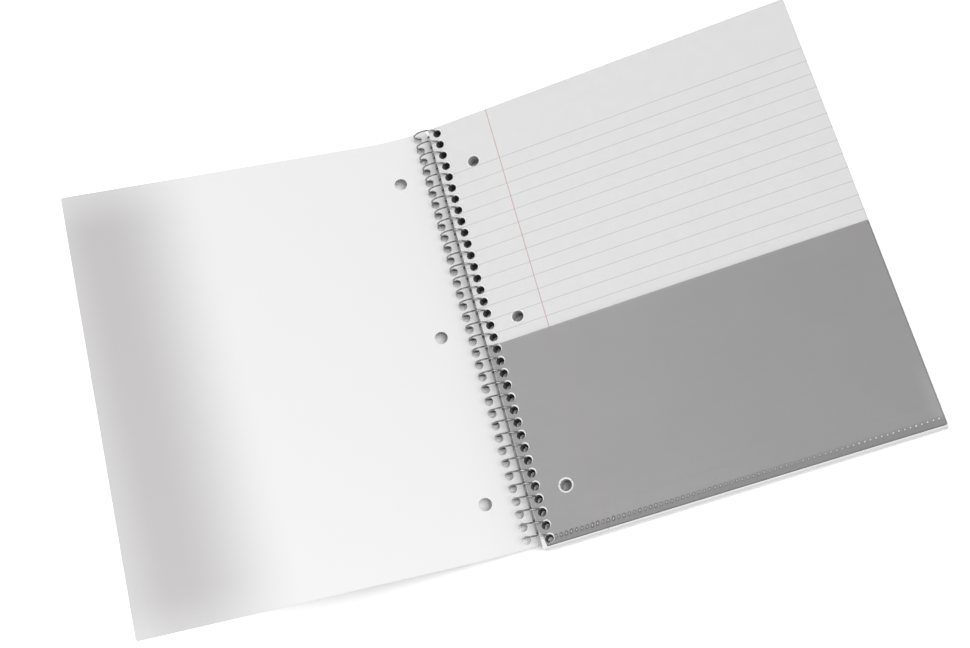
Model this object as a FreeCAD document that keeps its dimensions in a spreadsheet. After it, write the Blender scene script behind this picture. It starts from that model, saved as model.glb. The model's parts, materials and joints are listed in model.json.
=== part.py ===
import FreeCAD, Part
import Sketcher
import math
import os

# An open, coil-bound notebook lying on a table. Its front cover stands up to the left of the
# coil, and its pages lie face up to the right. Each piece is drawn in the book's frame: the
# coil's axis is Y, X points to the pages' fore edge, Z points up from the top page, and Y = 0
# is half the pages' height. One placement then sets the whole book down on the table.
# All sizes are in millimetres and degrees.

SIZES = [
    ("page_width", 234.4, "bound edge to fore edge"),
    ("page_height", 279.4, "tail to head"),
    ("block_thickness", 9.0, "all the ruled leaves together"),
    ("block_lift", 0.1, "middle of the leaves above the coil's axis"),
    ("coil_room", 4.0, "half the leaves' thickness to the middle of the wire"),
    ("wire_diameter", 1.0, "coil wire"),
    ("wire_bow", 1.3, "middle of the wire past the leaves' coil holes, level with the axis"),
    ("coil_shift", 1.17, "how far the coil sits towards the head in the leaves' coil holes"),
    ("end_turn", 200.0, "degrees of wire past the first crest, and past the last one"),
    ("hole_pitch", 7.9375, "spacing of the coil holes"),
    ("hole_count", 35, "coil holes along the bound edge"),
    ("hole_inset", 5.2, "bound edge of a leaf to the coil holes' centres"),
    ("hole_play", 4.2, "coil hole in the leaves and covers, wider than the wire"),
    ("film_hole_play", 5.0, "coil hole in the plastic sheets, wider than the wire"),
    ("binder_count", 3, "ring binder holes"),
    ("binder_spacing", 107.95, "spacing of the ring binder holes"),
    ("binder_inset", 17.8, "line of the coil holes to the line of the ring binder holes"),
    ("binder_page_hole", 7.14, "ring binder hole in the leaves and the back cover"),
    ("binder_cover_hole", 7.94, "ring binder hole in the front cover"),
    ("binder_film_hole", 9.2, "ring binder hole in the plastic sheets"),
    ("cover_thickness", 0.5, "both covers"),
    ("cover_reach_fore", 0.8, "how far both covers are wider than the leaves"),
    ("cover_reach_ends", 0.3, "how far both covers stand past the leaves at head and tail"),
    ("front_hang", 28.0, "front cover's coil holes below the coil's axis, in degrees"),
    ("front_hole_inset", 6.4, "front cover's bound edge to its coil holes"),
    ("front_creep", 0.33, "how far the front cover has crept past half a pitch, to the head"),
    ("curl_length", 44.0, "bent strip of the front cover beside the coil"),
    ("curl_start", 3.0, "slope of the front cover at its bound edge, in degrees"),
    ("wing_angle", 22.9, "slope of the flat part of the front cover, in degrees"),
    ("film_thickness", 0.25, "divider sheet and pocket front"),
    ("film_tail_inset", 0.7, "leaves' tail edge to the plastic sheets"),
    ("film_head_inset", 0.6, "leaves' head edge to the divider sheet"),
    ("film_spine_inset", 1.6, "leaves' bound edge to the plastic sheets"),
    ("film_fore_inset", 0.4, "leaves' fore edge to the plastic sheets"),
    ("film_hole_shift", 0.3, "plastic sheets' coil holes, off the leaves' holes"),
    ("pocket_height", 126.0, "tail edge of the pocket to its open top"),
]

# Where the sizes above meet, each place is worked out once here and used by every piece.
HALF_HEIGHT = "(Sizes.page_height / 2)"
FIRST_HOLE = "((Sizes.hole_count - 1) * Sizes.hole_pitch / 2)"
FIRST_BINDER = "((Sizes.binder_count - 1) * Sizes.binder_spacing / 2)"
PAGE_RISE = "(Sizes.block_lift + Sizes.block_thickness / 2)"
BLOCK_BASE = "(Sizes.block_lift - Sizes.block_thickness / 2)"
COIL_RADIUS = "(Sizes.block_thickness / 2 + Sizes.coil_room)"
COIL_LEAD = "(Sizes.hole_pitch / 4 + Sizes.coil_shift)"
LEAF_HOLE_X = f"({COIL_RADIUS} - Sizes.wire_bow)"
LEAF_BINDER_X = f"({LEAF_HOLE_X} + Sizes.binder_inset)"
PAGE_EDGE_X = f"({LEAF_HOLE_X} - Sizes.hole_inset)"
LEAF_HOLE = "(Sizes.wire_diameter + Sizes.hole_play)"
FILM_HOLE = "(Sizes.wire_diameter + Sizes.film_hole_play)"
COVER_WIDTH = "(Sizes.page_width + Sizes.cover_reach_fore)"
COVER_HEIGHT = "(Sizes.page_height + 2 * Sizes.cover_reach_ends)"
FRONT_HOLE_X = f"(-{COIL_RADIUS} * cos(Sizes.front_hang))"
FRONT_EDGE_X = f"({FRONT_HOLE_X} + Sizes.front_hole_inset)"
FRONT_EDGE_Z = f"(-{COIL_RADIUS} * sin(Sizes.front_hang))"
FRONT_CREEP = "(Sizes.hole_pitch / 2 + Sizes.front_creep)"
CURL_RADIUS = "(Sizes.curl_length / ((Sizes.wing_angle - Sizes.curl_start) * pi / 180))"
WING_LENGTH = f"({COVER_WIDTH} - Sizes.curl_length)"

SPINE = FreeCAD.Vector(0, 1, 0)

doc = FreeCAD.newDocument("notebook")
sheet = doc.addObject("Spreadsheet::Sheet", "Sizes")
for row, (alias, value, meaning) in enumerate(SIZES, start=1):
    sheet.set(f"A{row}", meaning)
    sheet.set(f"B{row}", str(value))
    sheet.setAlias(f"B{row}", alias)
doc.recompute()


def size_of(expression):
    """The present value of an expression of the sheet's sizes."""
    return float(sheet.evalExpression(expression))


def origin_plane(body, role):
    """One of the body's own three origin planes, such as XY_Plane."""
    return next(item for item in body.Origin.OriginFeatures if item.Role == role)


def flat_sketch(body, name, role):
    """An empty sketch on one of the body's origin planes."""
    sketch = body.newObject("Sketcher::SketchObject", name)
    sketch.AttachmentSupport = [(origin_plane(body, role), "")]
    sketch.MapMode = "FlatFace"
    return sketch


def drive(sketch, kind, target, expression):
    """Add a dimension to a sketch at its present value and bind it to the sheet."""
    value = float(sketch.evalExpression(expression))
    index = sketch.addConstraint(Sketcher.Constraint(kind, *target, value))
    sketch.setExpression(f"Constraints[{index}]", expression)


def new_body(name):
    """A body whose label is the piece's own name."""
    body = doc.addObject("PartDesign::Body", name)
    body.Label = name
    return body


def rectangle(body, name, left, tail, width, height):
    """A rectangle from its left tail corner, every side bound to the sheet."""
    sketch = flat_sketch(body, name, "XY_Plane")
    corners = [(1, 1), (3, 1), (3, 4), (1, 4)]
    points = [FreeCAD.Vector(x, y, 0) for x, y in corners]
    for start, end in zip(points, points[1:] + points[:1]):
        sketch.addGeometry(Part.LineSegment(start, end), False)
    for side in range(4):
        sketch.addConstraint(Sketcher.Constraint("Coincident", side, 2, (side + 1) % 4, 1))
    for side, kind in enumerate(("Horizontal", "Vertical", "Horizontal", "Vertical")):
        sketch.addConstraint(Sketcher.Constraint(kind, side))
    drive(sketch, "DistanceX", (0, 1, 0, 2), width)
    drive(sketch, "DistanceY", (1, 1, 1, 2), height)
    place_point(sketch, 0, 1, left, tail)
    return sketch


def place_point(sketch, geometry, vertex, along_x, along_y):
    """Hold one point of a sketch at a signed distance from the sketch's origin."""
    drive(sketch, "DistanceX", (-1, 1, geometry, vertex), along_x)
    drive(sketch, "DistanceY", (-1, 1, geometry, vertex), along_y)


def hole_row(body, name, along_x, first_y, diameter, count, spacing):
    """A straight row of round holes through the piece, from its head down to its tail."""
    sketch = flat_sketch(body, f"{name}_circle", "XY_Plane")
    sketch.addGeometry(Part.Circle(FreeCAD.Vector(1, 1, 0), FreeCAD.Vector(0, 0, 1), 1.0), False)
    drive(sketch, "Diameter", (0,), diameter)
    place_point(sketch, 0, 3, along_x, first_y)
    pocket = body.newObject("PartDesign::Pocket", f"{name}_cut")
    pocket.Profile = sketch
    pocket.Type = "ThroughAll"
    pocket.Midplane = True
    pattern = body.newObject("PartDesign::LinearPattern", f"{name}_row")
    pattern.Originals = [pocket]
    pattern.Direction = (sketch, ["V_Axis"])
    pattern.Reversed = True
    pattern.setExpression("Length", f"({count} - 1) * {spacing}")
    pattern.setExpression("Occurrences", count)
    body.Tip = pattern
    return pattern


def flat_sheet(name, left, tail, width, height, base, thickness):
    """A flat sheet or stack: a rectangle padded upwards from its underside."""
    body = new_body(name)
    outline = rectangle(body, f"{name}_outline", left, tail, width, height)
    outline.setExpression("AttachmentOffset.Base.z", base)
    pad = body.newObject("PartDesign::Pad", f"{name}_pad")
    pad.Profile = outline
    pad.setExpression("Length", thickness)
    body.Tip = pad
    return body


def coil_holes(body, along_x, first_y, diameter):
    hole_row(body, f"{body.Name}_coil_hole", along_x, first_y, diameter,
             "Sizes.hole_count", "Sizes.hole_pitch")


def binder_holes(body, along_x, first_y, diameter):
    hole_row(body, f"{body.Name}_binder_hole", along_x, first_y, diameter,
             "Sizes.binder_count", "Sizes.binder_spacing")


def make_page_block():
    """All the ruled leaves as one solid, with the coil holes and the ring binder holes."""
    body = flat_sheet("page_block", PAGE_EDGE_X, f"-{HALF_HEIGHT}", "Sizes.page_width",
                      "Sizes.page_height", BLOCK_BASE, "Sizes.block_thickness")
    coil_holes(body, LEAF_HOLE_X, FIRST_HOLE, LEAF_HOLE)
    binder_holes(body, LEAF_BINDER_X, FIRST_BINDER, "Sizes.binder_page_hole")
    return body


def make_back_cover():
    """The back cover, flat under the leaves, with its holes in line with theirs."""
    body = flat_sheet("back_cover", PAGE_EDGE_X, f"-{COVER_HEIGHT} / 2", COVER_WIDTH,
                      COVER_HEIGHT, f"{BLOCK_BASE} - Sizes.cover_thickness",
                      "Sizes.cover_thickness")
    coil_holes(body, LEAF_HOLE_X, FIRST_HOLE, LEAF_HOLE)
    binder_holes(body, LEAF_BINDER_X, FIRST_BINDER, "Sizes.binder_page_hole")
    return body


def make_plastic_sheet(name, height, layer):
    """A plastic sheet on the top page. Its holes are wider than those of the leaves."""
    left = f"{PAGE_EDGE_X} + Sizes.film_spine_inset"
    tail = f"-{HALF_HEIGHT} + Sizes.film_tail_inset"
    width = "Sizes.page_width - Sizes.film_spine_inset - Sizes.film_fore_inset"
    base = f"{PAGE_RISE} + {layer} * Sizes.film_thickness"
    return flat_sheet(name, left, tail, width, height, base, "Sizes.film_thickness")


def make_divider_sheet():
    """The full-height frosted sheet that carries the pocket."""
    height = "Sizes.page_height - Sizes.film_tail_inset - Sizes.film_head_inset"
    body = make_plastic_sheet("divider_sheet", height, 0)
    coil_holes(body, f"{LEAF_HOLE_X} + Sizes.film_hole_shift",
               f"{FIRST_HOLE} + Sizes.film_hole_shift", FILM_HOLE)
    binder_holes(body, LEAF_BINDER_X, FIRST_BINDER, "Sizes.binder_film_hole")
    return body


def first_below(top, first, spacing):
    """How many places of a row, counted from its head end, lie above a height."""
    return max(0, math.ceil((first - top) / spacing))


def make_pocket_front():
    """The half-height grey sheet, welded to the divider sheet along its tail edge."""
    body = make_plastic_sheet("pocket_front", "Sizes.pocket_height", 1)
    top = size_of(f"Sizes.film_tail_inset + Sizes.pocket_height - {HALF_HEIGHT}")
    first_uncut = size_of(f"{FIRST_HOLE} - {FILM_HOLE} / 2")
    skipped = first_below(top, first_uncut, sheet.hole_pitch)
    hole_row(body, "pocket_front_coil_hole", f"{LEAF_HOLE_X} + Sizes.film_hole_shift",
             f"{FIRST_HOLE} + Sizes.film_hole_shift - {skipped} * Sizes.hole_pitch",
             FILM_HOLE, f"(Sizes.hole_count - {skipped})", "Sizes.hole_pitch")
    skipped = first_below(top, size_of(FIRST_BINDER), sheet.binder_spacing)
    hole_row(body, "pocket_front_binder_hole", LEAF_BINDER_X,
             f"{FIRST_BINDER} - {skipped} * Sizes.binder_spacing",
             "Sizes.binder_film_hole", f"(Sizes.binder_count - {skipped})",
             "Sizes.binder_spacing")
    return body


def curl_point(radius, slope):
    """A point of the front cover's curl, from its centre, where the cover has this slope."""
    angle = math.radians(slope)
    return FreeCAD.Vector(-radius * math.sin(angle), -radius * math.cos(angle), 0)


def curved_profile(body):
    """The front cover's section: an arc beside the coil, then a straight wing, one sheet thick."""
    sketch = flat_sketch(body, "front_cover_section", "XZ_Plane")
    slopes = (sheet.curl_start, sheet.wing_angle)
    inner = size_of(CURL_RADIUS)
    outer = inner + sheet.cover_thickness
    start = FreeCAD.Vector(size_of(FRONT_EDGE_X), size_of(FRONT_EDGE_Z), 0)
    centre = start - curl_point(inner, slopes[0])
    wing = size_of(WING_LENGTH)
    run = FreeCAD.Vector(-math.cos(math.radians(slopes[1])), math.sin(math.radians(slopes[1])), 0)
    straight_down = 90
    angles = [-math.radians(straight_down + slope) for slope in reversed(slopes)]
    upper, lower = [(centre + curl_point(r, slopes[0]), centre + curl_point(r, slopes[1]))
                    for r in (inner, outer)]
    up = FreeCAD.Vector(0, 0, 1)
    for radius in (inner, outer):
        sketch.addGeometry(Part.ArcOfCircle(Part.Circle(centre, up, radius), *angles), False)
    for edge in (upper, lower):
        sketch.addGeometry(Part.LineSegment(edge[1], edge[1] + run * wing), False)
    sketch.addGeometry(Part.LineSegment(upper[0], lower[0]), False)
    sketch.addGeometry(Part.LineSegment(upper[1] + run * wing, lower[1] + run * wing), False)
    upper_arc, lower_arc, upper_line, lower_line, bound_end, fore_end = range(6)
    joins = [
        ("Coincident", upper_arc, 3, lower_arc, 3),
        ("Tangent", upper_arc, 1, upper_line, 1),
        ("Tangent", lower_arc, 1, lower_line, 1),
        ("Coincident", upper_arc, 2, bound_end, 1),
        ("Coincident", lower_arc, 2, bound_end, 2),
        ("Coincident", upper_line, 2, fore_end, 1),
        ("Coincident", lower_line, 2, fore_end, 2),
        ("PointOnObject", upper_arc, 3, bound_end),
        ("Perpendicular", upper_line, fore_end),
    ]
    for join in joins:
        sketch.addConstraint(Sketcher.Constraint(*join))
    drive(sketch, "Radius", (upper_arc,), CURL_RADIUS)
    drive(sketch, "Radius", (lower_arc,), f"{CURL_RADIUS} + Sizes.cover_thickness")
    place_point(sketch, upper_arc, 2, FRONT_EDGE_X, FRONT_EDGE_Z)
    drive(sketch, "DistanceY", (upper_arc, 2, upper_arc, 3), f"{CURL_RADIUS} * cos(Sizes.curl_start)")
    drive(sketch, "Distance", (upper_line, 1, upper_line, 2), WING_LENGTH)
    drive(sketch, "DistanceY", (upper_line, 1, upper_line, 2),
          f"{WING_LENGTH} * sin(Sizes.wing_angle)")
    return sketch


def make_front_cover():
    """The front cover: a sheet that curls up beside the coil and runs straight to its fore edge."""
    body = new_body("front_cover")
    section = curved_profile(body)
    section.setExpression("AttachmentOffset.Base.z", f"-{FRONT_CREEP}")
    pad = body.newObject("PartDesign::Pad", "front_cover_pad")
    pad.Profile = section
    pad.Midplane = True
    pad.setExpression("Length", COVER_HEIGHT)
    body.Tip = pad
    coil_holes(body, FRONT_HOLE_X, f"{FIRST_HOLE} + {FRONT_CREEP}", LEAF_HOLE)
    binder_holes(body, f"{FRONT_HOLE_X} - Sizes.binder_inset",
                 f"{FIRST_BINDER} + {FRONT_CREEP}", "Sizes.binder_cover_hole")
    return body


def make_spiral_coil():
    """One round wire wound left-handed through every hole, from the head to the tail."""
    body = new_body("spiral_coil")
    section = flat_sketch(body, "wire_section", "XY_Plane")
    circle = Part.Circle(FreeCAD.Vector(1, 1, 0), FreeCAD.Vector(0, 0, 1), 0.5)
    section.addGeometry(circle, False)
    drive(section, "Diameter", (0,), "Sizes.wire_diameter")
    section.addConstraint(Sketcher.Constraint("PointOnObject", 0, 3, -1))
    drive(section, "DistanceX", (-1, 1, 0, 3), COIL_RADIUS)
    quarter_turn = 90
    start = FreeCAD.Placement(FreeCAD.Vector(), FreeCAD.Rotation(SPINE, quarter_turn))
    section.AttachmentOffset = start
    section.setExpression("AttachmentOffset.Rotation.Angle", f"Sizes.end_turn - {quarter_turn}")
    section.setExpression(
        "AttachmentOffset.Base.y",
        f"{FIRST_HOLE} + {COIL_LEAD}"
        " - Sizes.hole_pitch * (Sizes.hole_count - 1 + Sizes.end_turn / 360)")
    helix = body.newObject("PartDesign::AdditiveHelix", "coil_turns")
    helix.Profile = section
    helix.ReferenceAxis = (section, ["V_Axis"])
    helix.Mode = "pitch-height-angle"
    helix.LeftHanded = True
    helix.setExpression("Pitch", "Sizes.hole_pitch")
    helix.setExpression(
        "Height", "Sizes.hole_pitch * (Sizes.hole_count - 1 + 2 * Sizes.end_turn / 360)")
    body.Tip = helix
    return body


pieces = [
    make_page_block(),
    make_back_cover(),
    make_divider_sheet(),
    make_pocket_front(),
    make_front_cover(),
    make_spiral_coil(),
]
doc.recompute()


def set_down(bodies):
    """Lay the book on the table: on the coil and on the back cover's fore edge."""
    wire_reach = size_of(f"{COIL_RADIUS} + Sizes.wire_diameter / 2")
    fore_edge = size_of(f"{PAGE_EDGE_X} + {COVER_WIDTH}")
    underside = size_of(f"Sizes.cover_thickness - {BLOCK_BASE}")
    tilt = math.asin(wire_reach / math.hypot(fore_edge, underside))
    tilt -= math.atan2(underside, fore_edge)
    turn = FreeCAD.Rotation(SPINE, math.degrees(tilt))
    for body in bodies:
        body.Placement = FreeCAD.Placement(FreeCAD.Vector(), turn)
    box = FreeCAD.BoundBox()
    for body in bodies:
        box.add(body.Shape.optimalBoundingBox(False))
    shift = FreeCAD.Vector(-box.Center.x, -box.Center.y, wire_reach)
    for body in bodies:
        body.Placement = FreeCAD.Placement(shift, turn)


set_down(pieces)
doc.recompute()

for item in doc.Objects:
    if "Invalid" in item.State or "Error" in item.State:
        raise RuntimeError(f"{item.Name} failed: {item.State}")
for body in pieces:
    if body.Shape.isNull() or not body.Shape.isValid() or len(body.Shape.Solids) != 1:
        raise RuntimeError(f"{body.Label} isn't one valid solid")

os.makedirs("parts", exist_ok=True)
for body in pieces:
    body.Shape.exportStep(f"parts/{body.Label}.step")
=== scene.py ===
import json
import math
import random

import bmesh
import bpy
from mathutils import Matrix, Vector


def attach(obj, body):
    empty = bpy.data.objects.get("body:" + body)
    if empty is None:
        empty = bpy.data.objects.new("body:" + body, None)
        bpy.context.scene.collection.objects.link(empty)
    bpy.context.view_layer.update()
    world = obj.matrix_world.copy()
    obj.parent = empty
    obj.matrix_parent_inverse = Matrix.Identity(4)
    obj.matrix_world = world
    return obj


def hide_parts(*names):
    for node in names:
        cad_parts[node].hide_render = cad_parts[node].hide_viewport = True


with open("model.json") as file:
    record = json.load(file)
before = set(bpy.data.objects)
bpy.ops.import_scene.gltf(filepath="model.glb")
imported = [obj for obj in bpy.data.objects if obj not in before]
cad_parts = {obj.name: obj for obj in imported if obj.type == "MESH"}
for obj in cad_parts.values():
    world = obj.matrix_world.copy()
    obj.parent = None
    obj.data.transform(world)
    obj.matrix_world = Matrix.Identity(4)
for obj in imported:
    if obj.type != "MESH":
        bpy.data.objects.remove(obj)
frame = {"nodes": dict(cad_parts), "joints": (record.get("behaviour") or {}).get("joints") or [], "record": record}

bl_info = {
    "name": "Open spiral notebook",
    "version": (1, 0, 0),
    "blender": (4, 5, 0),
    "location": "View3D > Sidebar > Notebook",
    "description": "Dresses an open, coil-bound notebook: leaves, plastic sheets, covers, coil",
    "category": "Object",
}

MM = 0.001
BINDER_HOLES = 3

# The kinds of face of a punched sheet, which are also its material slots: its two faces, its
# cut rim, its row of coil holes and its binder holes.
FACE, UNDERSIDE, RIM, COIL_HOLE, BINDER_HOLE = range(5)

# Points nearer than the first are one point; a point nearer than the second to a wall is on it.
SAME_POINT = 0.001 * MM
SAME_WALL = 0.01 * MM

# Rounded corners, and how finely round shapes are drawn.
FILM_CORNER = 1.2 * MM
CARD_CORNER = 1.5 * MM
CORNER_POINTS = 6
HOLE_SIDES = 32
WIRE_SIDES = 14
WIRE_STEPS_PER_TURN = 56

# How far both covers are wider than the leaves.
COVER_REACH = 0.8 * MM

# Ink lies this high above the paper, and the margin line this high above the rules it crosses.
INK_LIFT = 0.008 * MM
MARGIN_LIFT = 0.006 * MM

# The studio: half the floor's length, how far the floor lies under the book so that the two
# don't touch, the side of a softbox in metres, and how wide the far lamp looks.
FLOOR_REACH = 6.0
FLOOR_DROP = 0.02 * MM
SOFTBOX_SIDE = 0.9
SUN_WIDTH = math.radians(32.0)

# The book's own frame: the coil's axis is its Y, X points from the coil to the leaves' fore
# edge, and Z stands up from the top page. The book lies at a small tilt on the table.
HINGE = next(joint for joint in frame["joints"] if joint["name"] == "front_cover_turn")
BINDER_MOUNT = next(m for m in frame["record"]["mounts"] if m["name"] == "leaf_binder_holes")
SPINE = Vector(HINGE["axis"])
PAGE_UP = Vector(BINDER_MOUNT["axis"]).normalized()
PAGE_OUT = SPINE.cross(PAGE_UP)
BOOK = Matrix((PAGE_OUT, SPINE, PAGE_UP)).transposed().to_4x4()
BOOK.translation = Vector(HINGE["pos_m"])


def book_box(node):
    """Lowest and highest corner of a CAD node in the book's own frame."""
    into_book = BOOK.inverted()
    points = [into_book @ vertex.co for vertex in frame["nodes"][node].data.vertices]
    low = Vector([min(point[axis] for point in points) for axis in range(3)])
    high = Vector([max(point[axis] for point in points) for axis in range(3)])
    return low, high


LEAF_LOW, LEAF_HIGH = book_box("page_block")
DIVIDER_LOW, DIVIDER_HIGH = book_box("divider_sheet")
POCKET_LOW, POCKET_HIGH = book_box("pocket_front")
COVER_LOW, COVER_HIGH = book_box("front_cover")
COIL_LOW, COIL_HIGH = book_box("spiral_coil")


class PunchingSettings(bpy.types.PropertyGroup):
    """Where the sheets are punched."""

    coil_pitch: bpy.props.FloatProperty(
        name="Coil hole pitch", description="Spacing of the coil holes",
        default=7.9375 * MM, unit="LENGTH", precision=5)
    coil_count: bpy.props.IntProperty(
        name="Coil holes", description="Coil holes along the bound edge", default=35)
    coil_line: bpy.props.FloatProperty(
        name="Coil hole line", description="Coil's axis to the leaves' coil holes",
        default=7.2 * MM, unit="LENGTH", precision=5)
    coil_hole: bpy.props.FloatProperty(
        name="Coil hole", description="Diameter of a coil hole in leaves and covers",
        default=5.2 * MM, unit="LENGTH", precision=5)
    binder_spacing: bpy.props.FloatProperty(
        name="Binder hole spacing", description="Spacing of the three ring binder holes",
        default=107.95 * MM, unit="LENGTH", precision=5)
    binder_inset: bpy.props.FloatProperty(
        name="Binder hole line", description="Coil holes' line to the binder holes' line",
        default=17.8 * MM, unit="LENGTH", precision=5)
    binder_hole: bpy.props.FloatProperty(
        name="Binder hole", description="Diameter of a binder hole in the leaves",
        default=7.14 * MM, unit="LENGTH", precision=5)


class PrintSettings(bpy.types.PropertyGroup):
    """The ruling of the leaves."""

    first_rule: bpy.props.FloatProperty(
        name="First rule", description="Head of the page to the first rule",
        default=35.68 * MM, unit="LENGTH", precision=5)
    rule_pitch: bpy.props.FloatProperty(
        name="Rule pitch", description="Spacing of the rules",
        default=9.146 * MM, unit="LENGTH", precision=5)
    rule_width: bpy.props.FloatProperty(
        name="Rule width", description="Width of a printed rule",
        default=0.34 * MM, unit="LENGTH", precision=5)
    margin_inset: bpy.props.FloatProperty(
        name="Margin line", description="Bound edge of the page to the margin line",
        default=39.52 * MM, unit="LENGTH", precision=5)
    margin_width: bpy.props.FloatProperty(
        name="Margin width", description="Width of the margin line",
        default=0.38 * MM, unit="LENGTH", precision=5)
    rule_ink: bpy.props.StringProperty(
        name="Rule ink", description="sRGB colour of the rules", default="#BCC2C8")
    margin_ink: bpy.props.StringProperty(
        name="Margin ink", description="sRGB colour of the margin line", default="#CF7B78")


class SheetSettings(bpy.types.PropertyGroup):
    """Paper and plastic sheets."""

    leaf_layers: bpy.props.IntProperty(
        name="Leaf layers", description="Bundles of leaves that the block shows at its edges",
        default=18)
    leaf_stray: bpy.props.FloatProperty(
        name="Leaf stray", description="How far a bundle of leaves strays sideways",
        default=0.12 * MM, unit="LENGTH", precision=5)
    film_hole: bpy.props.FloatProperty(
        name="Film coil hole", description="Diameter of a coil hole in the plastic sheets",
        default=6.0 * MM, unit="LENGTH", precision=5)
    film_binder_hole: bpy.props.FloatProperty(
        name="Film binder hole", description="Diameter of a binder hole in the plastic sheets",
        default=9.2 * MM, unit="LENGTH", precision=5)
    film_shift: bpy.props.FloatProperty(
        name="Film shift", description="Plastic sheets' coil holes, off the leaves' holes",
        default=0.4 * MM, unit="LENGTH", precision=5)
    spine_inset: bpy.props.FloatProperty(
        name="Spine inset", description="Leaves' bound edge to the plastic sheets' bound edge",
        default=0.35 * MM, unit="LENGTH", precision=5)
    film_gap: bpy.props.FloatProperty(
        name="Film gap", description="Air left under each plastic sheet",
        default=0.05 * MM, unit="LENGTH", precision=5)
    paper: bpy.props.StringProperty(
        name="Paper", description="sRGB colour of the paper", default="#FAFAFA")
    divider: bpy.props.StringProperty(
        name="Divider", description="sRGB colour of the frosted sheet", default="#DAD8D9")
    divider_haze: bpy.props.FloatProperty(
        name="Divider haze", description="How much of the frosted sheet hides what is under it",
        default=0.2, min=0.0, max=1.0, subtype="FACTOR")
    # The tinted sheet is lighter by the coil than by the fore edge: a painted sheen.
    pocket: bpy.props.StringProperty(
        name="Pocket", description="sRGB colour of the tinted sheet by the coil",
        default="#BCBABB")
    pocket_fore: bpy.props.StringProperty(
        name="Pocket fore", description="sRGB colour of the tinted sheet by the fore edge",
        default="#ACAAAA")
    pocket_haze: bpy.props.FloatProperty(
        name="Pocket haze", description="How much of the tinted sheet hides what is under it",
        default=0.62, min=0.0, max=1.0, subtype="FACTOR")
    weld_inset: bpy.props.FloatProperty(
        name="Weld row", description="Tail edge of the pocket to its row of weld marks",
        default=4.3 * MM, unit="LENGTH", precision=5)
    weld_pitch: bpy.props.FloatProperty(
        name="Weld pitch", description="Spacing of the weld marks",
        default=3.15 * MM, unit="LENGTH", precision=5)


class CoverSettings(bpy.types.PropertyGroup):
    """The front cover."""

    thickness: bpy.props.FloatProperty(
        name="Card thickness", description="Thickness of a cover",
        default=0.5 * MM, unit="LENGTH", precision=5)
    curl_length: bpy.props.FloatProperty(
        name="Curl length", description="Bent strip of the front cover beside the coil",
        default=44.0 * MM, unit="LENGTH", precision=5)
    curl_start: bpy.props.FloatProperty(
        name="Curl start", description="Slope of the front cover at its bound edge",
        default=math.radians(3.0), subtype="ANGLE")
    wing_angle: bpy.props.FloatProperty(
        name="Wing angle", description="Slope of the flat part of the front cover",
        default=math.radians(22.9), subtype="ANGLE")
    hole_line: bpy.props.FloatProperty(
        name="Cover hole line", description="Front cover's bound edge to its coil holes",
        default=6.4 * MM, unit="LENGTH", precision=5)
    binder_hole: bpy.props.FloatProperty(
        name="Cover binder hole", description="Diameter of a binder hole in the front cover",
        default=7.94 * MM, unit="LENGTH", precision=5)
    card: bpy.props.StringProperty(
        name="Card", description="sRGB colour of the covers", default="#F6F6F6")
    # The covers' outer faces are painted this mid grey as shade under the covers.
    outside: bpy.props.StringProperty(
        name="Outside", description="sRGB colour of the covers' outer faces",
        default="#8A8C8E")
    # Grey of a reflection painted into a band near the front cover's fore edge.
    cast: bpy.props.StringProperty(
        name="Cast", description="sRGB colour of the grey cast near the fore edge",
        default="#C9C7C7")


class CoilSettings(bpy.types.PropertyGroup):
    """The coil wire."""

    wire: bpy.props.FloatProperty(
        name="Wire", description="Diameter of the wire",
        default=1.0 * MM, unit="LENGTH", precision=5)
    shift: bpy.props.FloatProperty(
        name="Coil shift", description="How far the coil sits towards the head in its holes",
        default=1.17 * MM, unit="LENGTH", precision=5)
    end_turn: bpy.props.FloatProperty(
        name="Head turn", description="Wire before the first crest, at the head",
        default=math.radians(200.0), subtype="ANGLE")
    tail_turn: bpy.props.FloatProperty(
        name="Tail turn", description="Wire past the last crest, at the tail",
        default=math.radians(168.0), subtype="ANGLE")
    steel: bpy.props.StringProperty(
        name="Steel", description="sRGB colour of the plated wire", default="#A0A0A2")


class StageSettings(bpy.types.PropertyGroup):
    """Camera and studio."""

    camera_place: bpy.props.FloatVectorProperty(
        name="Camera place", description="Where the camera stands",
        default=(0.144693, -0.272790, 0.783000), subtype="XYZ", unit="LENGTH", precision=6)
    camera_turn: bpy.props.FloatVectorProperty(
        name="Camera turn", description="The camera's turn about X, Y and Z",
        default=[math.radians(turn) for turn in (15.3959, 16.7463, -14.8463)], subtype="EULER")
    focal_length: bpy.props.FloatProperty(
        name="Focal length", description="Focal length in millimetres on a 36 mm sensor",
        default=50.5)
    shift: bpy.props.FloatVectorProperty(
        name="Lens shift", description="Sideways and upward shift of the picture",
        default=(0.02776, 0.00861), size=2, precision=5)


# The plastic sheets' corner at the bound edge's tail is cut away: how far each point of the
# cut lies from the sheets' bound edge and from their tail edge.
CORNER_CUT = ((0.0, 9.0 * MM), (1.7 * MM, 7.0 * MM), (2.5 * MM, 0.0))

SETTINGS = {
    "book_punching": PunchingSettings,
    "book_print": PrintSettings,
    "book_sheets": SheetSettings,
    "book_cover": CoverSettings,
    "book_coil": CoilSettings,
    "book_stage": StageSettings,
}


def linear(hex_colour, alpha=1.0):
    """An sRGB hex colour as linear RGBA."""
    shares = [int(hex_colour[at:at + 2], 16) / 255 for at in (1, 3, 5)]
    toe = 0.04045
    bent = [share / 12.92 if share <= toe else ((share + 0.055) / 1.055) ** 2.4
            for share in shares]
    return (*bent, alpha)


def add_node(tree, kind, inputs=None, **settings):
    """Add a node with its settings; each input is a value or another node's output."""
    node = tree.nodes.new(kind)
    for name, value in settings.items():
        setattr(node, name, value)
    for name, value in (inputs or {}).items():
        if isinstance(value, bpy.types.NodeSocket):
            tree.links.new(value, node.inputs[name])
        else:
            node.inputs[name].default_value = value
    return node


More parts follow.
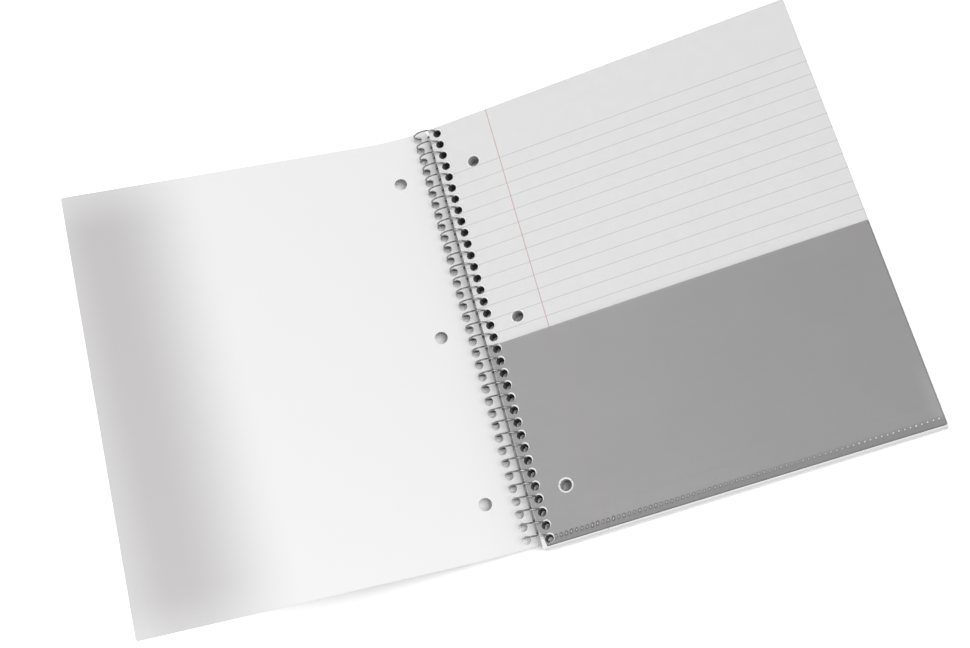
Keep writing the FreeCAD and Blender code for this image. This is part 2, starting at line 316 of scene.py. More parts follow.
def new_material(name):
    """A material with an empty node tree."""
    material = bpy.data.materials.new(name)
    material.use_nodes = True
    material.node_tree.nodes.clear()
    return material, material.node_tree


def close_material(tree, shader, **values):
    """Set constants on a shader's own sockets and send it to the material's output."""
    for name, value in values.items():
        shader.inputs[name.replace("_", " ")].default_value = value
    add_node(tree, "ShaderNodeOutputMaterial", {"Surface": shader.outputs[0]})


def patch_noise(tree, size, detail=1.0):
    """A noise whose patches are about this long, in metres of the object's own space."""
    place = add_node(tree, "ShaderNodeTexCoord")
    return add_node(tree, "ShaderNodeTexNoise",
                    {"Vector": place.outputs["Object"], "Scale": 1.0 / size, "Detail": detail})


def white_bond_paper(sheets):
    # Wood-free bond paper from a calender stack: matt, with a faint cloud of fibres in the
    # sheet. A leaf is 0.1 mm thick, which is too fine to show, so the block's cut edges are
    # drawn as bundles 0.5 mm thick.
    material, tree = new_material("white_bond_paper")
    cloud = patch_noise(tree, 6.0 * MM, 2.0)
    light = linear(sheets.paper)
    dark = linear("#F3F3F3")
    tone = blend(tree, cloud.outputs["Fac"], dark, light)
    shader = add_node(tree, "ShaderNodeBsdfPrincipled", {"Base Color": tone})
    close_material(tree, shader, Roughness=0.85, IOR=1.47, Specular_IOR_Level=0.25)
    return material


def printing_ink(name, colour, thin):
    # Offset ink soaked into bond paper: matt, and a little starved where the fibres take less.
    material, tree = new_material(name)
    starved = patch_noise(tree, 1.2 * MM)
    tone = blend(tree, starved.outputs["Fac"], linear(colour), linear(thin))
    shader = add_node(tree, "ShaderNodeBsdfPrincipled", {"Base Color": tone})
    close_material(tree, shader, Roughness=0.8, IOR=1.47, Specular_IOR_Level=0.2)
    return material


def smooth_step(tree, value, start, stop, share_start=0.0, share_stop=1.0):
    """A factor that eases from one share to another while a value runs from start to stop."""
    return add_node(tree, "ShaderNodeMapRange", {
        "Value": value, "From Min": start, "From Max": stop, "To Min": share_start,
        "To Max": share_stop}, interpolation_type="SMOOTHSTEP").outputs["Result"]


def multiply(tree, first, second):
    """The product of two factors."""
    return add_node(tree, "ShaderNodeMath", {0: first, 1: second}, operation="MULTIPLY").outputs[0]


def blend(tree, factor, first, second):
    """One colour laid over another by a factor; each is a value or another node's output."""
    mix = add_node(tree, "ShaderNodeMix", data_type="RGBA")
    for name, value in (("Factor", factor), ("A", first), ("B", second)):
        socket = next(i for i in mix.inputs if i.name == name and i.enabled)
        if isinstance(value, bpy.types.NodeSocket):
            tree.links.new(value, socket)
        else:
            socket.default_value = value
    return next(output for output in mix.outputs if output.enabled)


def object_axes(tree):
    """The object's own X, Y and Z, in metres."""
    place = add_node(tree, "ShaderNodeTexCoord")
    return add_node(tree, "ShaderNodeSeparateXYZ", {"Vector": place.outputs["Object"]}).outputs


def frosted_polypropylene(sheets):
    # Thin natural polypropylene sheet with a matt roll finish. It is nearly clear, but its
    # haze takes the brilliance off the paper, and its fine grain spreads every reflection.
    material, tree = new_material("frosted_polypropylene")
    shader = add_node(tree, "ShaderNodeBsdfPrincipled", {"Base Color": linear(sheets.divider)})
    close_material(tree, shader, Roughness=0.45, IOR=1.49, Alpha=sheets.divider_haze)
    return material


def tinted_polypropylene(sheets):
    # Smoke-tinted polypropylene sheet, calendered: a satin face that hides most of the page.
    # The roll's pressure leaves slow clouds. The tone falls off towards the fore edge as a
    # painted sheen, lighter by the coil. Along the tail, round the weld, the sheet is darker;
    # along the tail and fore edges a thin dark line is painted as the shade of the knife cut's
    # rim. Near the fore corner by the tail a painted highlight lightens the tone.
    material, tree = new_material("tinted_polypropylene")
    axes = object_axes(tree)
    low = BOOK @ POCKET_LOW
    high = BOOK @ POCKET_HIGH
    cloud = patch_noise(tree, 40.0 * MM)
    # Painted sheen: the tone falls from the coil's side towards the fore edge.
    across = smooth_step(tree, axes["X"], low.x, high.x)
    tone = blend(tree, across, linear(sheets.pocket), linear(sheets.pocket_fore))
    tone = blend(tree, multiply(tree, cloud.outputs["Fac"], 0.22), tone, linear("#8F8D8E"))
    # Painted highlight: the fore corner by the tail is lighter.
    corner = multiply(tree, smooth_step(tree, axes["X"], high.x - 9.0 * MM, high.x - 1.5 * MM),
                      smooth_step(tree, axes["Y"], low.y + 42.0 * MM, low.y + 20.0 * MM))
    tone = blend(tree, multiply(tree, corner, 0.3), tone, linear("#CFCDCE"))
    weld = smooth_step(tree, axes["Y"], low.y + 6.4 * MM, low.y + 3.2 * MM, 0.0, 0.62)
    tone = blend(tree, weld, tone, linear("#848283"))
    # Painted shade of the cut rim: a thin dark line along the tail and fore edges.
    rim = smooth_step(tree, axes["Y"], low.y + 0.9 * MM, low.y + 0.5 * MM, 0.0, 0.7)
    side = smooth_step(tree, axes["X"], high.x - 0.8 * MM, high.x - 0.5 * MM, 0.0, 0.6)
    tone = blend(tree, rim, tone, linear("#555354"))
    tone = blend(tree, side, tone, linear("#6A6869"))
    shader = add_node(tree, "ShaderNodeBsdfPrincipled", {"Base Color": tone})
    close_material(tree, shader, Roughness=0.4, IOR=1.49, Alpha=sheets.pocket_haze)
    return material


def wetted_underside():
    # The lower face of a sheet that clings to what it lies on: no air, so no haze of its own.
    material, tree = new_material("wetted_underside")
    close_material(tree, add_node(tree, "ShaderNodeBsdfTransparent"))
    return material


def knife_cut(name, colour):
    # The cut rim of a sheet or of a punched hole: rough from the blade, so it takes no sheen.
    material, tree = new_material(name)
    shader = add_node(tree, "ShaderNodeBsdfPrincipled", {"Base Color": linear(colour)})
    close_material(tree, shader, Roughness=0.9, IOR=1.47, Specular_IOR_Level=0.1)
    return material


def weld_scar(name, bound, fore):
    # Ultrasonic weld in polypropylene: the pressed rim is glassy and darker. Towards the fore
    # edge the marks are painted lighter, a painted glint where they catch the light.
    material, tree = new_material(name)
    axes = object_axes(tree)
    low = BOOK @ POCKET_LOW
    high = BOOK @ POCKET_HIGH
    painted_glint = smooth_step(tree, axes["X"], low.x + 140.0 * MM, high.x - 5.0 * MM)
    shader = add_node(tree, "ShaderNodeBsdfPrincipled", {
        "Base Color": blend(tree, painted_glint, linear(bound), linear(fore))})
    close_material(tree, shader, Roughness=0.3, IOR=1.49)
    return material


def laminated_card(cover):
    # Solid white board under a satin laminate: an even, smooth sheet that takes a broad soft
    # sheen. A wide band near the front cover's fore edge carries a painted grey reflection of
    # something dark, weaker at its ends.
    material, tree = new_material("laminated_card")
    axes = object_axes(tree)
    fore = COVER_LOW.x + BOOK.translation.x
    slanted = add_node(tree, "ShaderNodeMath", {0: axes["Y"], 1: 0.035, 2: axes["X"]},
                       operation="MULTIPLY_ADD").outputs[0]
    inner = smooth_step(tree, slanted, fore + 26.0 * MM, fore + 88.0 * MM, 1.0, 0.0)
    outer = smooth_step(tree, slanted, fore - 6.0 * MM, fore + 20.0 * MM, 0.62, 1.0)
    length = add_node(tree, "ShaderNodeMath", {0: axes["Y"]}, operation="ABSOLUTE").outputs[0]
    ends = smooth_step(tree, length, 112.0 * MM, 146.0 * MM, 1.0, 0.62)
    band = multiply(tree, multiply(tree, inner, outer), ends)
    tone = blend(tree, band, linear(cover.card), linear(cover.cast))
    shader = add_node(tree, "ShaderNodeBsdfPrincipled", {"Base Color": tone})
    close_material(tree, shader, Roughness=0.4, IOR=1.5)
    return material


def painted_shade_outer_face(cover):
    # The same board's outer face, painted a flat mid grey as shade, so that the floor under the
    # covers gets little light back and the holes read dark: satin, with a faint random mottle.
    material, tree = new_material("painted_shade_outer_face")
    mottle = patch_noise(tree, 2.0 * MM)
    tone = blend(tree, mottle.outputs["Fac"], linear(cover.outside), linear("#8F9193"))
    shader = add_node(tree, "ShaderNodeBsdfPrincipled", {"Base Color": tone})
    close_material(tree, shader, Roughness=0.38, IOR=1.5)
    return material


def plated_steel_wire(coil):
    # Drawn steel wire with a bright zinc plating: smooth along the wire, so it takes narrow
    # highlights, and a little uneven where the plating is thin.
    material, tree = new_material("plated_steel_wire")
    plating = patch_noise(tree, 3.0 * MM)
    tone = blend(tree, plating.outputs["Fac"], linear("#7E7E80"), linear(coil.steel))
    shader = add_node(tree, "ShaderNodeBsdfPrincipled", {"Base Color": tone})
    close_material(tree, shader, Metallic=1.0, Roughness=0.24)
    return material


def hole_rows(x_coil, x_binder, shift_y, coil_hole, binder_hole):
    """The holes of one sheet: centre x, centre y and diameter, in the book's frame."""
    punching = bpy.context.scene.book_punching
    rows = []
    for index in range(punching.coil_count):
        y = ((punching.coil_count - 1) / 2 - index) * punching.coil_pitch
        rows.append((x_coil, y + shift_y[0], coil_hole))
    for index in range(BINDER_HOLES):
        rows.append((x_binder, (1 - index) * punching.binder_spacing + shift_y[1], binder_hole))
    return rows


def add_spline(curve, points):
    """A closed outline of straight runs in a flat curve."""
    spline = curve.splines.new("POLY")
    spline.points.add(len(points) - 1)
    for point, (x, y) in zip(spline.points, points):
        point.co = (x, y, 0.0, 1.0)
    spline.use_cyclic_u = True


def sort_faces(work, holes):
    """Give each face of a flat sheet the slot of its kind."""
    for face in work.faces:
        centre = face.calc_center_median()
        if abs(face.normal.z) > 0.5:
            face.material_index = FACE if face.normal.z > 0 else UNDERSIDE
            continue
        face.material_index = RIM
        for index, (x, y, diameter) in enumerate(holes):
            if math.hypot(centre.x - x, centre.y - y) < diameter / 2 + SAME_WALL:
                is_binder = index >= len(holes) - BINDER_HOLES
                face.material_index = BINDER_HOLE if is_binder else COIL_HOLE


def punched_sheet(name, low, high, holes, corner=0.0, cut=()):
    """A flat sheet between two corners of the book's frame, with its round holes cut out.

    The corner at the bound edge's tail may be cut away, by points measured from that corner.
    """
    curve = bpy.data.curves.new(name, "CURVE")
    curve.dimensions = "2D"
    curve.fill_mode = "BOTH"
    curve.extrude = (high.z - low.z) / 2
    turns = CORNER_POINTS if corner else 1
    outline = []
    for index, (x, y, sx, sy) in enumerate(((low.x, low.y, 1, 1), (high.x, low.y, -1, 1),
                                            (high.x, high.y, -1, -1), (low.x, high.y, 1, -1))):
        if index == 0 and cut:
            outline += [(low.x + out, low.y + up) for out, up in cut]
            continue
        centre = (x + sx * corner, y + sy * corner)
        for step in range(turns):
            angle = math.radians(180 + 90 * index + 90 * (step / max(turns - 1, 1)))
            outline.append((centre[0] + corner * math.cos(angle),
                            centre[1] + corner * math.sin(angle)))
    add_spline(curve, outline)
    for x, y, diameter in holes:
        # A hole that lies off the sheet is left out; drawn there, it would fill in as a disc.
        if low.y - diameter / 2 < y < high.y + diameter / 2:
            circle = [(x + diameter / 2 * math.cos(math.tau * side / HOLE_SIDES),
                       y + diameter / 2 * math.sin(math.tau * side / HOLE_SIDES))
                      for side in range(HOLE_SIDES)]
            add_spline(curve, circle)
    holder = bpy.data.objects.new(name, curve)
    bpy.context.scene.collection.objects.link(holder)
    bpy.context.view_layer.update()
    graph = bpy.context.evaluated_depsgraph_get()
    mesh = bpy.data.meshes.new_from_object(holder.evaluated_get(graph))
    bpy.data.objects.remove(holder)
    bpy.data.curves.remove(curve)
    mesh.transform(Matrix.Translation((0, 0, (low.z + high.z) / 2)))
    work = bmesh.new()
    work.from_mesh(mesh)
    bmesh.ops.remove_doubles(work, verts=work.verts, dist=SAME_POINT)
    bmesh.ops.recalc_face_normals(work, faces=work.faces)
    bpy.data.meshes.remove(mesh)
    sort_faces(work, holes)
    return work


def slice_sheet(work, axis, places):
    """Cut edges across a sheet at each place along an axis, so that it can bend there."""
    normal = Vector([1.0 if index == axis else 0.0 for index in range(3)])
    for place in places:
        geometry = work.verts[:] + work.edges[:] + work.faces[:]
        bmesh.ops.bisect_plane(work, geom=geometry, plane_co=normal * place, plane_no=normal,
                               dist=SAME_POINT)


def steps_between(start, stop, spacing):
    """Evenly spaced places from start to stop, ends left out."""
    count = max(1, round(abs(stop - start) / spacing))
    return [start + (stop - start) * index / count for index in range(1, count)]


def finish_piece(name, work, body, materials, replaced=(), sharp=35.0):
    """Turn a bmesh in the book's frame into a piece that rides on a body."""
    mesh = bpy.data.meshes.new(name)
    work.to_mesh(mesh)
    work.free()
    mesh.transform(BOOK)
    mesh.polygons.foreach_set("use_smooth", [True] * len(mesh.polygons))
    mesh.set_sharp_from_angle(angle=math.radians(sharp))
    for material in materials:
        mesh.materials.append(material)
    piece = bpy.data.objects.new(name, mesh)
    bpy.context.scene.collection.objects.link(piece)
    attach(piece, body)
    if replaced:
        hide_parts(*replaced)
    return piece


def leaf_holes():
    """The holes of the leaves."""
    punching = bpy.context.scene.book_punching
    return hole_rows(punching.coil_line, punching.coil_line + punching.binder_inset, (0.0, 0.0),
                     punching.coil_hole, punching.binder_hole)


def film_holes():
    """The holes of the plastic sheets."""
    punching = bpy.context.scene.book_punching
    sheets = bpy.context.scene.book_sheets
    return hole_rows(punching.coil_line + sheets.film_shift,
                     punching.coil_line + punching.binder_inset, (sheets.film_shift, 0.0),
                     sheets.film_hole, sheets.film_binder_hole)


class NOTEBOOK_OT_leaves(bpy.types.Operator):
    """Stack the ruled leaves; bundles of them stray a little at the edges, as cut paper does"""

    bl_idname = "notebook.leaves"
    bl_label = "Stack the leaves"

    def execute(self, context):
        sheets = context.scene.book_sheets
        block = punched_sheet("leaves", LEAF_LOW, LEAF_HIGH, leaf_holes())
        heights = steps_between(LEAF_LOW.z, LEAF_HIGH.z,
                                (LEAF_HIGH.z - LEAF_LOW.z) / sheets.leaf_layers)
        slice_sheet(block, 2, heights)
        chance = random.Random(11)
        strays = {round(z / MM, 3): chance.uniform(0.0, sheets.leaf_stray) for z in heights}
        for vertex in block.verts:
            stray = strays.get(round(vertex.co.z / MM, 3), 0.0)
            for axis in range(2):
                if abs(vertex.co[axis] - LEAF_LOW[axis]) < SAME_WALL:
                    vertex.co[axis] += stray
                elif abs(vertex.co[axis] - LEAF_HIGH[axis]) < SAME_WALL:
                    vertex.co[axis] -= stray
        # The bound edge takes the painted shade of the coil's holes beside it, for the coil's shadow.
        for face in block.faces:
            if face.material_index == RIM and face.normal.x < -0.5:
                face.material_index = COIL_HOLE
        paper = white_bond_paper(sheets)
        finish_piece("ruled_leaves", block, "book",
                     # The coil holes' walls and the bound edge are painted dark grey as shade; the binder holes'
                     # walls are painted a lighter grey as shade.
                     [paper, paper, paper, knife_cut("coil_hole_shade", "#858483"),
                      knife_cut("binder_hole_shade", "#C6C5C4")], ["page_block"],
                     sharp=6.0)
        return {"FINISHED"}


def gaps_in_rule(y, holes):
    """The stretches of a rule at this height that fall in a hole."""
    cuts = []
    for x, hole_y, diameter in holes:
        reach = (diameter / 2) ** 2 - (y - hole_y) ** 2
        if reach > 0:
            cuts.append((x - math.sqrt(reach), x + math.sqrt(reach)))
    return sorted(cuts)


def add_strip(work, left, right, tail, head, z, material_index):
    """A flat rectangle of ink."""
    corners = [(left, tail), (right, tail), (right, head), (left, head)]
    face = work.faces.new([work.verts.new((x, y, z)) for x, y in corners])
    face.material_index = material_index


class NOTEBOOK_OT_ruling(bpy.types.Operator):
    """Print the rules and the margin line on the top leaf"""

    bl_idname = "notebook.ruling"
    bl_label = "Print the ruling"

    def execute(self, context):
        ruling = context.scene.book_print
        holes = leaf_holes()
        ink_height = LEAF_HIGH.z + INK_LIFT
        left, right = LEAF_LOW.x, LEAF_HIGH.x
        head, tail = LEAF_HIGH.y, LEAF_LOW.y
        work = bmesh.new()
        y = head - ruling.first_rule
        while y > tail + ruling.rule_width:
            start = left
            for cut in gaps_in_rule(y, holes) + [(right, right)]:
                if cut[0] > start:
                    add_strip(work, start, cut[0], y - ruling.rule_width / 2,
                              y + ruling.rule_width / 2, ink_height, 0)
                start = cut[1]
            y -= ruling.rule_pitch
        margin = left + ruling.margin_inset
        add_strip(work, margin - ruling.margin_width / 2, margin + ruling.margin_width / 2,
                  tail, head, ink_height + MARGIN_LIFT, 1)
        inks = [printing_ink("rule_ink", ruling.rule_ink, "#CBD2D8"),
                printing_ink("margin_ink", ruling.margin_ink, "#DDA09C")]
        finish_piece("ruling", work, "book", inks)
        return {"FINISHED"}


class NOTEBOOK_OT_divider(bpy.types.Operator):
    """Lay the frosted divider sheet on the top leaf"""

    bl_idname = "notebook.divider"
    bl_label = "Lay the divider sheet"

    def execute(self, context):
        sheets = context.scene.book_sheets
        low, high = DIVIDER_LOW.copy(), DIVIDER_HIGH.copy()
        low.z += sheets.film_gap
        high.z -= sheets.film_gap
        low.x = LEAF_LOW.x + sheets.spine_inset
        work = punched_sheet("divider", low, high, film_holes(), FILM_CORNER, CORNER_CUT)
        film = frosted_polypropylene(sheets)
        rim = knife_cut("divider_rim", "#C9C7C8")
        finish_piece("divider_film", work, "book", [film, wetted_underside()] + [rim] * 3,
                     ["divider_sheet"])
        return {"FINISHED"}


class NOTEBOOK_OT_pocket(bpy.types.Operator):
    """Lay the tinted pocket front over the tail half, its open edge lifted a hair"""

    bl_idname = "notebook.pocket"
    bl_label = "Lay the pocket front"

    def execute(self, context):
        sheets = context.scene.book_sheets
        low, high = POCKET_LOW.copy(), POCKET_HIGH.copy()
        low.z += sheets.film_gap / 2
        high.z -= sheets.film_gap
        low.x = LEAF_LOW.x + sheets.spine_inset
        work = punched_sheet("pocket", low, high, film_holes(), FILM_CORNER, CORNER_CUT)
        # The lip is this long, and its middle stands up this far.
        lip = 14.0 * MM
        lift = 0.45 * MM
        row_spacing, column_spacing = 2.0 * MM, 12.0 * MM
        slice_sheet(work, 1, steps_between(high.y - lip, high.y, row_spacing))
        slice_sheet(work, 0, steps_between(low.x, high.x, column_spacing))
        for vertex in work.verts:
            rise = max(0.0, (vertex.co.y - (high.y - lip)) / lip)
            arch = math.sin(math.pi * (vertex.co.x - low.x) / (high.x - low.x))
            vertex.co.z += lift * rise ** 2 * arch
        film = tinted_polypropylene(sheets)
        rim = knife_cut("pocket_rim", "#777576")
        finish_piece("pocket_film", work, "book", [film, wetted_underside()] + [rim] * 3,
                     ["pocket_front"])
        return {"FINISHED"}


class NOTEBOOK_OT_weld(bpy.types.Operator):
    """Press the row of weld marks that joins the pocket to the divider along its tail"""

    bl_idname = "notebook.weld"
    bl_label = "Press the weld"

    def execute(self, context):
        sheets = context.scene.book_sheets
        base = POCKET_HIGH.z - sheets.film_gap - 0.01 * MM
        # A mark's rings stand this high above the sheet.
        heights = (0.0, 0.05 * MM, 0.05 * MM, 0.03 * MM)
        sides = 12
        lean = math.radians(14.0)
        # The first mark stands this far in from the bound edge. Marks wander this many
        # millimetres off their row, and shrink by this share towards the fore edge.
        first_mark = 4.5 * MM
        wander = 0.12
        shrink = 0.42
        work = bmesh.new()
        chance = random.Random(4)
        places = steps_between(POCKET_LOW.x + first_mark, POCKET_HIGH.x, sheets.weld_pitch)
        for x in places:
            y = POCKET_LOW.y + sheets.weld_inset + chance.uniform(-wander, wander) * MM
            along = (x - places[0]) / (places[-1] - places[0])
            size = chance.uniform(0.85, 1.1) * (1.0 - shrink * along)
            half_width = 1.0 * MM * size
            half_height = 1.65 * MM * size * (1.0 - shrink * along)
            middle = 0.5 + 0.3 * along
            shares = (1.0, (1.0 + middle) / 2, middle, middle * 0.75)
            loops = []
            for share, height in zip(shares, heights):
                loop = []
                for side in range(sides):
                    angle = math.tau * side / sides
                    out = half_width * share * math.cos(angle)
                    up = half_height * share * math.sin(angle)
                    loop.append(work.verts.new((x + out + up * math.tan(lean), y + up,
                                                base + height)))
                loops.append(loop)
            for ring, (outer, inner) in enumerate(zip(loops, loops[1:])):
                for side in range(sides):
                    after = (side + 1) % sides
                    face = work.faces.new((outer[side], outer[after], inner[after], inner[side]))
                    face.material_index = 0 if ring < 2 else 1
            work.faces.new(loops[-1]).material_index = 1
            work.faces.new(loops[0][::-1])
        # The scars grow lighter towards the fore edge by a painted glint, most in the middles.
        scars = [weld_scar("weld_rim", "#666465", "#706E6F"),
                 weld_scar("weld_middle", "#B8B6B7", "#F0EFEF")]
        finish_piece("weld_marks", work, "book", scars, sharp=80.0)
        return {"FINISHED"}


def cover_materials(cover):
    """A cover's inner face, outer face, cut rim and punched holes."""
    core = knife_cut("card_core", "#CFCECD")
    return [laminated_card(cover), painted_shade_outer_face(cover), core, core, core]


class NOTEBOOK_OT_back_cover(bpy.types.Operator):
    """Give the flat back cover its card"""

    bl_idname = "notebook.back_cover"
    bl_label = "Finish the back cover"

    def execute(self, context):
        cover = context.scene.book_cover
        punching = context.scene.book_punching
        low, high = book_box("back_cover")
        holes = hole_rows(punching.coil_line, punching.coil_line + punching.binder_inset,
                          (0.0, 0.0), punching.coil_hole, cover.binder_hole)
        work = punched_sheet("back", low, high, holes, CARD_CORNER)
        finish_piece("flat_cover", work, "back_cover", cover_materials(cover),
                     ["back_cover"])
        return {"FINISHED"}


def curl_place(cover, along, down):
    """A point of the curled front cover: its distance from the bound edge and its depth."""
    radius = cover.curl_length / (cover.wing_angle - cover.curl_start)
    slope = cover.curl_start + min(max(along, 0.0), cover.curl_length) / radius
    beyond = max(along - cover.curl_length, 0.0)
    edge_x = COVER_HIGH.x
    edge_z = COVER_LOW.z + cover.thickness * math.cos(cover.curl_start)
    run = radius * (math.sin(slope) - math.sin(cover.curl_start)) + beyond * math.cos(slope)
    rise = radius * (math.cos(cover.curl_start) - math.cos(slope)) + beyond * math.sin(slope)
    x = edge_x - run - down * math.sin(slope)
    z = edge_z + rise - down * math.cos(slope)
    return x, z


def length_at(cover, run):
    """How far along the curl a point lies that is this far out from the bound edge."""
    radius = cover.curl_length / (cover.wing_angle - cover.curl_start)
    slope = math.asin(math.sin(cover.curl_start) + run / radius)
    return radius * (slope - cover.curl_start)


class NOTEBOOK_OT_front_cover(bpy.types.Operator):
    """Curl the front cover up beside the coil"""

    bl_idname = "notebook.front_cover"
    bl_label = "Curl the front cover"

    def execute(self, context):
        cover = context.scene.book_cover
        punching = context.scene.book_punching
        width = LEAF_HIGH.x - LEAF_LOW.x + COVER_REACH
        half = (COVER_HIGH.y - COVER_LOW.y) / 2
        holes = hole_rows(length_at(cover, cover.hole_line),
                          length_at(cover, cover.hole_line + punching.binder_inset),
                          (0.0, 0.0), punching.coil_hole, cover.binder_hole)
        work = punched_sheet("cover", Vector((0.0, -half, -cover.thickness)),
                             Vector((width, half, 0.0)), holes, CARD_CORNER)
        curl_spacing, wing_spacing = 1.5 * MM, 16.0 * MM
        slice_sheet(work, 0, steps_between(0.0, cover.curl_length, curl_spacing))
        slice_sheet(work, 0, [cover.curl_length])
        slice_sheet(work, 0, steps_between(cover.curl_length, width, wing_spacing))
        middle = (COVER_LOW.y + COVER_HIGH.y) / 2
        for vertex in work.verts:
            x, z = curl_place(cover, vertex.co.x, -vertex.co.z)
            vertex.co = (x, middle - vertex.co.y, z)
        bmesh.ops.recalc_face_normals(work, faces=work.faces)
        finish_piece("curled_cover", work, "front_cover", cover_materials(cover),
                     ["front_cover"])
        return {"FINISHED"}


class NOTEBOOK_OT_coil(bpy.types.Operator):
    """Wind the wire through every hole and bend its two ends in"""

    bl_idname = "notebook.coil"
    bl_label = "Wind the coil"

    def execute(self, context):
        coil = context.scene.book_coil
        punching = context.scene.book_punching
        radius = (COIL_HIGH.x - COIL_LOW.x) / 2 - coil.wire / 2
        crest = ((punching.coil_count - 1) / 2 * punching.coil_pitch
                 + punching.coil_pitch / 4 + coil.shift)
        last = math.tau * (punching.coil_count - 1) + coil.tail_turn
        steps = round((last + coil.end_turn) / math.tau * WIRE_STEPS_PER_TURN)
        # The last stretch of each end, in the coil's own turn, is bent in and along the spine.
        hook = math.radians(38.0)
        bent_in, bent_along = 1.0 * MM, 2.0 * MM
        path = []
        for step in range(steps + 1):
            turn = -coil.end_turn + (last + coil.end_turn) * step / steps
            from_end = min(turn + coil.end_turn, last - turn)
            bend = max(0.0, 1.0 - from_end / hook)
            toward = 1.0 if turn > last / 2 else -1.0
            reach = radius - bent_in * bend ** 2
            y = crest - punching.coil_pitch * turn / math.tau + toward * bent_along * bend ** 2
            path.append(Vector((reach * math.sin(turn), y, reach * math.cos(turn))))
        work = bmesh.new()
        loops = []
        for index, point in enumerate(path):
            ahead = path[min(index + 1, len(path) - 1)]
            behind = path[max(index - 1, 0)]
            along = (ahead - behind).normalized()
            outward = Vector((point.x, 0.0, point.z)).normalized()
            across = along.cross(outward).normalized()
            outward = across.cross(along)
            loops.append([work.verts.new(point + coil.wire / 2 * (
                outward * math.cos(math.tau * side / WIRE_SIDES)
                + across * math.sin(math.tau * side / WIRE_SIDES)))
                for side in range(WIRE_SIDES)])
        for first, second in zip(loops, loops[1:]):
            for side in range(WIRE_SIDES):
                after = (side + 1) % WIRE_SIDES
                work.faces.new((first[side], first[after], second[after], second[side]))
        work.faces.new(loops[0][::-1])
        work.faces.new(loops[-1])
        bmesh.ops.recalc_face_normals(work, faces=work.faces)
        finish_piece("coil_wire", work, "book", [plated_steel_wire(coil)],
                     ["spiral_coil"], sharp=60.0)
        return {"FINISHED"}


def pale_floor():
    # A sheet of white studio board, matt. Seen by the camera, in metal or through plastic its
    # white counts for more than it lights the book with, so that it reads as white and still
    # keeps the book's shadow.
    material, tree = new_material("studio_board")
    board = add_node(tree, "ShaderNodeBsdfDiffuse", {"Color": linear("#B4B4B4")})
    half = add_node(tree, "ShaderNodeBsdfDiffuse", {"Color": linear("#E2E2E2")})
    seen = add_node(tree, "ShaderNodeAddShader")
    tree.links.new(half.outputs[0], seen.inputs[0])
    tree.links.new(half.outputs[0], seen.inputs[1])
    path = add_node(tree, "ShaderNodeLightPath")
    either = add_node(tree, "ShaderNodeMath", {
        0: path.outputs["Is Camera Ray"], 1: path.outputs["Is Glossy Ray"]}, operation="MAXIMUM")
    any_of = add_node(tree, "ShaderNodeMath", {
        0: either.outputs[0], 1: path.outputs["Is Transmission Ray"]}, operation="MAXIMUM")
    mix = add_node(tree, "ShaderNodeMixShader", {0: any_of.outputs[0]})
    tree.links.new(board.outputs[0], mix.inputs[1])
    tree.links.new(seen.outputs[0], mix.inputs[2])
    close_material(tree, mix)
    return material


def studio_world(world):
    """A pale studio dome, greyer overhead, that the camera sees as one even pale grey."""
    world.use_nodes = True
    tree = world.node_tree
    tree.nodes.clear()
    place = add_node(tree, "ShaderNodeTexCoord")
    axes = add_node(tree, "ShaderNodeSeparateXYZ", {"Vector": place.outputs["Generated"]})
    dome = smooth_step(tree, axes.outputs["Z"], 0.05, 0.75, 0.77, 0.345)
    path = add_node(tree, "ShaderNodeLightPath")
    seen = add_node(tree, "ShaderNodeMath", {0: dome, 1: path.outputs["Is Camera Ray"]},
                    operation="MAXIMUM")
    light = add_node(tree, "ShaderNodeBackground", {"Strength": seen.outputs[0]})
    add_node(tree, "ShaderNodeOutputWorld", {"Surface": light.outputs[0]})


def add_lamp(name, kind, place, strength):
    """A soft lamp that points at the book: a near softbox, or a far one as a wide sun."""
    data = bpy.data.lights.new(name, kind)
    data.energy = strength
    if kind == "AREA":
        data.size = SOFTBOX_SIDE
    else:
        data.angle = SUN_WIDTH
    lamp = bpy.data.objects.new(name, data)
    lamp.location = place
    lamp.rotation_mode = "QUATERNION"
    lamp.rotation_quaternion = (-Vector(place)).to_track_quat("-Z", "Y")
    bpy.context.scene.collection.objects.link(lamp)


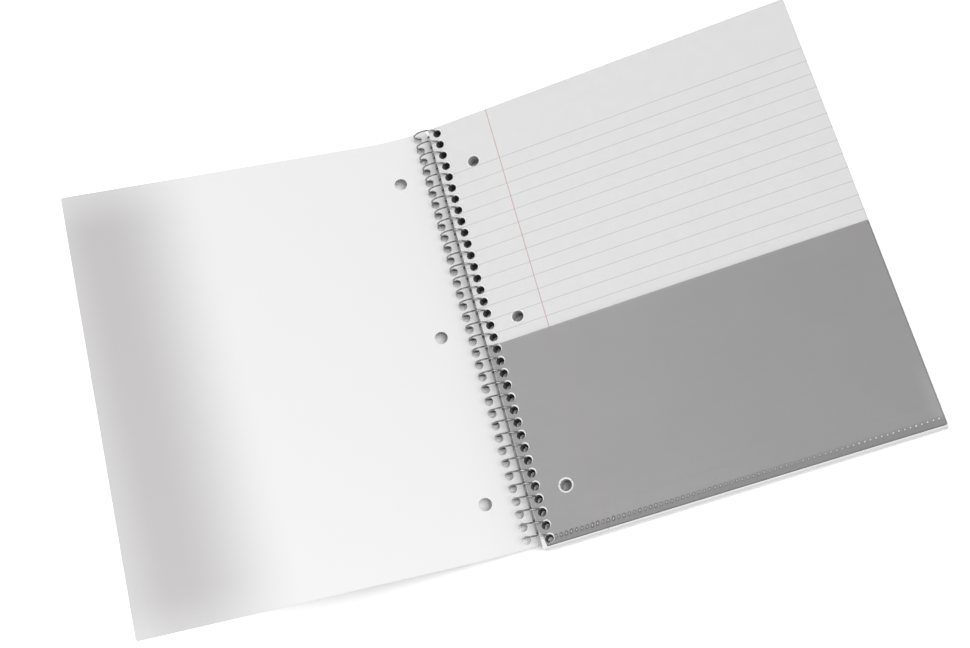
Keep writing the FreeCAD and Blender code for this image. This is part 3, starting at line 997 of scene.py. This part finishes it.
class NOTEBOOK_OT_stage(bpy.types.Operator):
    """Set up the floor, the studio light and the camera"""

    bl_idname = "notebook.stage"
    bl_label = "Set the stage"

    def execute(self, context):
        stage = context.scene.book_stage
        mesh = bpy.data.meshes.new("floor")
        work = bmesh.new()
        bmesh.ops.create_grid(work, x_segments=8, y_segments=8, size=FLOOR_REACH)
        work.to_mesh(mesh)
        work.free()
        mesh.materials.append(pale_floor())
        floor = bpy.data.objects.new("floor", mesh)
        floor.location.z = -FLOOR_DROP
        context.scene.collection.objects.link(floor)
        context.scene.world = bpy.data.worlds.new("studio")
        studio_world(context.scene.world)
        add_lamp("key", "SUN", (0.72, -0.25, 1.25), 1.36)
        add_lamp("fill", "AREA", (-0.95, 0.10, 1.25), 6.4)
        add_lamp("front", "AREA", (0.10, -1.60, 0.50), 5.2)
        data = bpy.data.cameras.new("camera")
        data.lens = stage.focal_length
        data.sensor_width = 36.0
        data.shift_x, data.shift_y = stage.shift
        camera = bpy.data.objects.new("camera", data)
        camera.location = stage.camera_place
        camera.rotation_euler = stage.camera_turn
        context.scene.collection.objects.link(camera)
        context.scene.camera = camera
        context.scene.view_settings.view_transform = "Standard"
        return {"FINISHED"}


OPERATORS = (
    NOTEBOOK_OT_leaves,
    NOTEBOOK_OT_ruling,
    NOTEBOOK_OT_divider,
    NOTEBOOK_OT_pocket,
    NOTEBOOK_OT_weld,
    NOTEBOOK_OT_back_cover,
    NOTEBOOK_OT_front_cover,
    NOTEBOOK_OT_coil,
    NOTEBOOK_OT_stage,
)


class NOTEBOOK_PT_pieces(bpy.types.Panel):
    """The notebook's pieces and sizes"""

    bl_idname = "NOTEBOOK_PT_pieces"
    bl_label = "Notebook"
    bl_space_type = "VIEW_3D"
    bl_region_type = "UI"
    bl_category = "Notebook"

    def draw(self, context):
        for operator in OPERATORS:
            self.layout.operator(operator.bl_idname)
        for name, group in SETTINGS.items():
            box = self.layout.box()
            for field in group.__annotations__:
                box.prop(getattr(context.scene, name), field)


def register():
    for group in SETTINGS.values():
        bpy.utils.register_class(group)
    for name, group in SETTINGS.items():
        setattr(bpy.types.Scene, name, bpy.props.PointerProperty(type=group))
    for operator in OPERATORS:
        bpy.utils.register_class(operator)
    bpy.utils.register_class(NOTEBOOK_PT_pieces)


def unregister():
    bpy.utils.unregister_class(NOTEBOOK_PT_pieces)
    for operator in reversed(OPERATORS):
        bpy.utils.unregister_class(operator)
    for name in SETTINGS:
        delattr(bpy.types.Scene, name)
    for group in reversed(SETTINGS.values()):
        bpy.utils.unregister_class(group)


def main():
    """Dress the whole notebook."""
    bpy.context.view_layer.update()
    register()
    bpy.ops.notebook.leaves()
    bpy.ops.notebook.ruling()
    bpy.ops.notebook.divider()
    bpy.ops.notebook.pocket()
    bpy.ops.notebook.weld()
    bpy.ops.notebook.back_cover()
    bpy.ops.notebook.front_cover()
    bpy.ops.notebook.coil()
    bpy.ops.notebook.stage()


if __name__ == "__main__":
    main()
